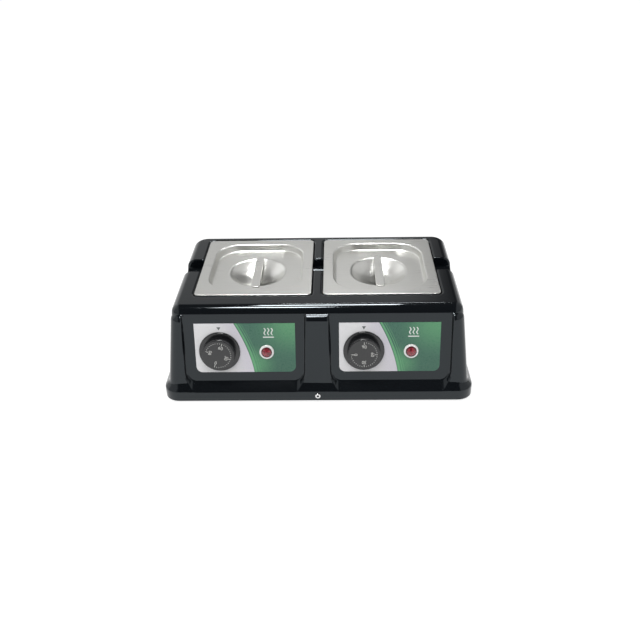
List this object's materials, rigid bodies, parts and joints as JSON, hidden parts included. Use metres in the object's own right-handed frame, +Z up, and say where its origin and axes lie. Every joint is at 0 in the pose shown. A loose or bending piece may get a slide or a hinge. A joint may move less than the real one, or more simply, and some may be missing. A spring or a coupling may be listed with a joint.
{
  "type": "wax warmer",
  "caption": "Countertop dry-heat wax warmer: glossy casing holding side-by-side steel pans under lift-off lids, each with its own thermostat dial and pilot lamp.",
  "frame": {"origin": "centre of the base, on the plane the feet stand on", "axes": "+X to the right as the user faces the dials, +Y from the front to the back, +Z up"},
  "size_m": [0.432, 0.2836, 0.1335],
  "materials": {
    "casing_black": "glossy thermoformed black",
    "tray_steel": "dull grey coat",
    "stainless": "satin stainless",
    "well_aluminium": "spun sheet",
    "heater_silicone": "moulded silicone",
    "insulation_fibre": "matted fibre",
    "knob_black": "satin dark grey",
    "label_print": "printed overlay",
    "bezel_white": "glossy white",
    "lens_red": "translucent red",
    "lamp_amber": "moulded",
    "lamp_nut_nylon": "moulded nylon",
    "thermostat_black": "moulded phenolic",
    "capillary_copper": "drawn copper",
    "screw_steel": "bright plated",
    "feet_rubber": "moulded",
    "inlet_black": "moulded",
    "brass_bright": "bright",
    "terminal_cream": "moulded"
  },
  "bodies": {
    "housing": {"casing": "casing_black", "base_tray": "tray_steel", "casing_screws": "screw_steel", "rubber_feet": "feet_rubber", "foot_screws": "screw_steel", "well_screws": "screw_steel", "thermostat_screws": "screw_steel", "power_inlet": "inlet_black", "inlet_pins": "brass_bright", "inlet_screws": "screw_steel", "terminal_block": "terminal_cream", "earth_stud": "brass_bright", "earth_nut": "brass_bright", "left_well": "well_aluminium", "left_heater_mat": "heater_silicone", "left_insulation": "insulation_fibre", "left_thermostat": "thermostat_black", "left_capillary": "capillary_copper", "left_bulb_clip": "screw_steel", "left_label": "label_print", "left_lamp_bezel": "bezel_white", "left_lamp_lens": "lens_red", "left_lamp_body": "lamp_amber", "left_lamp_nut": "lamp_nut_nylon", "right_well": "well_aluminium", "right_heater_mat": "heater_silicone", "right_insulation": "insulation_fibre", "right_thermostat": "thermostat_black", "right_capillary": "capillary_copper", "right_bulb_clip": "screw_steel", "right_label": "label_print", "right_lamp_bezel": "bezel_white", "right_lamp_lens": "lens_red", "right_lamp_body": "lamp_amber", "right_lamp_nut": "lamp_nut_nylon"},
    "left_knob_body": {"left_knob": "knob_black", "left_thermostat_shaft": "screw_steel"},
    "left_pan_body": {"left_pan": "stainless"},
    "left_lid_body": {"left_lid": "stainless", "left_lid_handle": "stainless"},
    "right_knob_body": {"right_knob": "knob_black", "right_thermostat_shaft": "screw_steel"},
    "right_pan_body": {"right_pan": "stainless"},
    "right_lid_body": {"right_lid": "stainless", "right_lid_handle": "stainless"}
  },
  "joints": [
    {"name": "left_knob_turn", "type": "hinge", "parent": "housing", "child": "left_knob_body", "pos_m": [-0.13325, -0.11831, 0.07114], "axis": [0, -0.9799, 0.1994], "range_deg": [-70, 200]},
    {"name": "right_knob_turn", "type": "hinge", "parent": "housing", "child": "right_knob_body", "pos_m": [0.06325, -0.11831, 0.07114], "axis": [0, -0.9799, 0.1994], "range_deg": [0, 270]},
    {"name": "left_pan_lift", "type": "slide", "parent": "housing", "child": "left_pan_body", "axis": [0, 0, 1], "range_m": [0, 0.12]},
    {"name": "left_lid_lift", "type": "slide", "parent": "left_pan_body", "child": "left_lid_body", "axis": [0, 0, 1], "range_m": [0, 0.06]},
    {"name": "right_pan_lift", "type": "slide", "parent": "housing", "child": "right_pan_body", "axis": [0, 0, 1], "range_m": [0, 0.12]},
    {"name": "right_lid_lift", "type": "slide", "parent": "right_pan_body", "child": "right_lid_body", "axis": [0, 0, 1], "range_m": [0, 0.06]}
  ]
}
